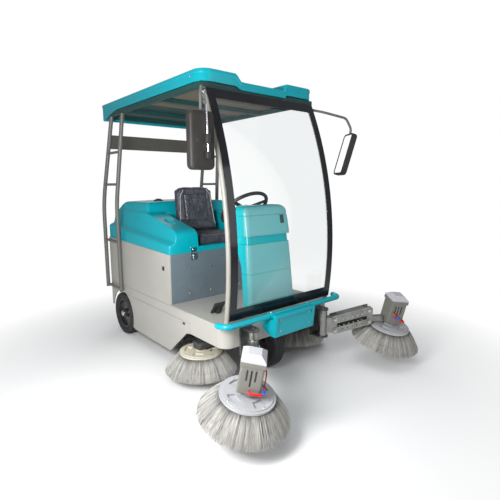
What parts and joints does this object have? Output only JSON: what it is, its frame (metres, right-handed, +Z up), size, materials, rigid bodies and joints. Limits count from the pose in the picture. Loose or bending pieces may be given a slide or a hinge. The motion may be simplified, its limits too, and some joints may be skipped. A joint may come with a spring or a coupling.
{
  "type": "ride-on street sweeper",
  "caption": "Compact ride-on street sweeper with canopy, bowed windscreen, teal hood, hopper, main roller and four flared side brushes on arms.",
  "frame": {"origin": "on the ground, at the middle of the whole machine's footprint", "axes": "+X forward, +Y to the machine's left, +Z up"},
  "size_m": [2.4512, 1.9752, 2.03],
  "materials": {
    "teal_shell": "gloss moulded shell",
    "body_cream": "satin paint",
    "panel_slate": "satin paint",
    "tube_grey": "satin paint",
    "frame_paint": "matt black paint",
    "zinc_channel": "zinc grey",
    "motor_paint": "light grey paint",
    "brush_plate": "moulded grey",
    "bristle": "tufted nylon",
    "tyre_rubber": "treaded",
    "wheel_rim": "black with a bright hub cap",
    "seat_leather": "stitched",
    "black_plastic": "grained",
    "black_border": "gloss",
    "screen_glass": "clear",
    "amber_lens": "ribbed"
  },
  "bodies": {
    "root": {"chassis_frame": "frame_paint", "front_tray": "body_cream", "front_panel": "panel_slate", "rear_panel": "body_cream", "battery_block": "frame_paint", "roller_housing": "frame_paint", "console": "teal_shell", "steering_column": "black_plastic", "brake_pedal": "black_plastic", "windscreen_glass": "screen_glass", "windscreen_frame": "black_border", "front_pillars": "tube_grey", "rear_ladder_right": "tube_grey", "rear_ladder_left": "tube_grey", "rear_cross_plate": "tube_grey", "roof": "teal_shell", "roof_frame": "tube_grey", "bumper_bar": "teal_shell", "bumper_box": "teal_shell", "mirror_arms": "tube_grey", "mirror_heads": "black_plastic", "arm_brackets": "frame_paint", "body_side_right": "body_cream", "body_side_left": "body_cream"},
    "steer_fork": {"steer_fork": "frame_paint"},
    "front_wheel": {"front_tyre": "tyre_rubber", "front_rim": "wheel_rim"},
    "steering_wheel": {"steering_wheel": "black_plastic"},
    "hood": {"hood": "teal_shell", "seat_cushion": "seat_leather", "seat_back": "seat_leather", "beacon_base": "black_plastic", "beacon_lens": "amber_lens"},
    "hopper": {"hopper": "body_cream"},
    "roller_brush": {"roller_brush": "bristle"},
    "rear_wheel_right": {"rear_tyre_right": "tyre_rubber", "rear_rim_right": "wheel_rim"},
    "swing_base_right": {"swing_base_right": "zinc_channel"},
    "upper_link_right": {"upper_link_right": "zinc_channel"},
    "lower_link_right": {"lower_link_right": "zinc_channel"},
    "brush_carrier_right": {"brush_carrier_right": "zinc_channel", "motor_cover_right": "motor_paint"},
    "front_brush_right": {"front_plate_right": "brush_plate", "front_bristles_right": "bristle"},
    "mid_arm_right": {"mid_arm_right": "frame_paint"},
    "mid_brush_right": {"mid_plate_right": "brush_plate", "mid_bristles_right": "bristle"},
    "rear_wheel_left": {"rear_tyre_left": "tyre_rubber", "rear_rim_left": "wheel_rim"},
    "swing_base_left": {"swing_base_left": "zinc_channel"},
    "upper_link_left": {"upper_link_left": "zinc_channel"},
    "lower_link_left": {"lower_link_left": "zinc_channel"},
    "brush_carrier_left": {"brush_carrier_left": "zinc_channel", "motor_cover_left": "motor_paint"},
    "front_brush_left": {"front_plate_left": "brush_plate", "front_bristles_left": "bristle"},
    "mid_arm_left": {"mid_arm_left": "frame_paint"},
    "mid_brush_left": {"mid_plate_left": "brush_plate", "mid_bristles_left": "bristle"}
  },
  "joints": [
    {"name": "front_steer", "type": "hinge", "parent": "root", "child": "steer_fork", "pos_m": [0.366, -0.039, 0.188], "axis": [0, 0, 1], "range_deg": [-60, 60]},
    {"name": "front_wheel_spin", "type": "hinge", "parent": "steer_fork", "child": "front_wheel", "pos_m": [0.366, -0.039, 0.188], "axis": [0, 1, 0], "continuous": true},
    {"name": "steering_wheel_turn", "type": "hinge", "parent": "root", "child": "steering_wheel", "pos_m": [0.162, -0.039, 1.157], "axis": [-0.6428, 0, 0.766], "range_deg": [-300, 300]},
    {"name": "hood_open", "type": "hinge", "parent": "root", "child": "hood", "pos_m": [-1.193, -0.039, 0.866], "axis": [0, -1, 0], "range_deg": [0, 45]},
    {"name": "hopper_slide", "type": "slide", "parent": "root", "child": "hopper", "axis": [-1, 0, 0], "range_m": [0, 0.42]},
    {"name": "roller_spin", "type": "hinge", "parent": "root", "child": "roller_brush", "pos_m": [-0.404, -0.039, 0.152], "axis": [0, 1, 0], "continuous": true},
    {"name": "rear_wheel_right_spin", "type": "hinge", "parent": "root", "child": "rear_wheel_right", "pos_m": [-0.956, -0.496, 0.188], "axis": [0, 1, 0], "continuous": true},
    {"name": "arm_swing_right", "type": "hinge", "parent": "root", "child": "swing_base_right", "pos_m": [0.646, -0.377, 0.27], "axis": [0, 0, 1], "range_deg": [-35.6, 39.4]},
    {"name": "arm_lift_right", "type": "hinge", "parent": "swing_base_right", "child": "upper_link_right", "pos_m": [0.70673, -0.43647, 0.354], "axis": [-0.6997, -0.7145, 0], "range_deg": [-27, 3]},
    {"name": "lower_link_right_turn", "type": "hinge", "parent": "swing_base_right", "child": "lower_link_right", "pos_m": [0.70673, -0.43647, 0.27], "axis": [-0.6997, -0.7145, 0], "range_deg": [-27, 3]},
    {"name": "carrier_right_level", "type": "hinge", "parent": "upper_link_right", "child": "brush_carrier_right", "pos_m": [0.89263, -0.61852, 0.4093], "axis": [-0.6997, -0.7145, 0], "range_deg": [-3, 27]},
    {"name": "front_brush_right_spin", "type": "hinge", "parent": "brush_carrier_right", "child": "front_brush_right", "pos_m": [1.01753, -0.74082, 0.285], "axis": [0.2419, 0, 0.9703], "continuous": true},
    {"name": "mid_arm_right_lift", "type": "hinge", "parent": "root", "child": "mid_arm_right", "pos_m": [-0.029, -0.411, 0.33], "axis": [0, 1, 0], "range_deg": [0, 8]},
    {"name": "mid_brush_right_spin", "type": "hinge", "parent": "mid_arm_right", "child": "mid_brush_right", "pos_m": [0.241, -0.505, 0.206], "axis": [0, 0, 1], "continuous": true},
    {"name": "rear_wheel_left_spin", "type": "hinge", "parent": "root", "child": "rear_wheel_left", "pos_m": [-0.956, 0.418, 0.188], "axis": [0, 1, 0], "continuous": true},
    {"name": "arm_swing_left", "type": "hinge", "parent": "root", "child": "swing_base_left", "pos_m": [0.646, 0.299, 0.27], "axis": [0, 0, 1], "range_deg": [-53.1, 21.9]},
    {"name": "arm_lift_left", "type": "hinge", "parent": "swing_base_left", "child": "upper_link_left", "pos_m": [0.69092, 0.37116, 0.354], "axis": [0.849, -0.5284, 0], "range_deg": [-27, 3]},
    {"name": "lower_link_left_turn", "type": "hinge", "parent": "swing_base_left", "child": "lower_link_left", "pos_m": [0.69092, 0.37116, 0.27], "axis": [0.849, -0.5284, 0], "range_deg": [-27, 3]},
    {"name": "carrier_left_level", "type": "hinge", "parent": "upper_link_left", "child": "brush_carrier_left", "pos_m": [0.82841, 0.59205, 0.4093], "axis": [0.849, -0.5284, 0], "range_deg": [-3, 27]},
    {"name": "front_brush_left_spin", "type": "hinge", "parent": "brush_carrier_left", "child": "front_brush_left", "pos_m": [0.92079, 0.74047, 0.285], "axis": [0.2419, 0, 0.9703], "continuous": true},
    {"name": "mid_arm_left_lift", "type": "hinge", "parent": "root", "child": "mid_arm_left", "pos_m": [-0.029, 0.333, 0.33], "axis": [0, 1, 0], "range_deg": [0, 8]},
    {"name": "mid_brush_left_spin", "type": "hinge", "parent": "mid_arm_left", "child": "mid_brush_left", "pos_m": [0.241, 0.427, 0.206], "axis": [0, 0, 1], "continuous": true}
  ],
  "couplings": [
    {"joint": "steering_wheel_turn", "follows": "front_steer", "ratio": 5},
    {"joint": "lower_link_right_turn", "follows": "arm_lift_right", "ratio": 1},
    {"joint": "carrier_right_level", "follows": "arm_lift_right", "ratio": -1},
    {"joint": "lower_link_left_turn", "follows": "arm_lift_left", "ratio": 1},
    {"joint": "carrier_left_level", "follows": "arm_lift_left", "ratio": -1}
  ]
}
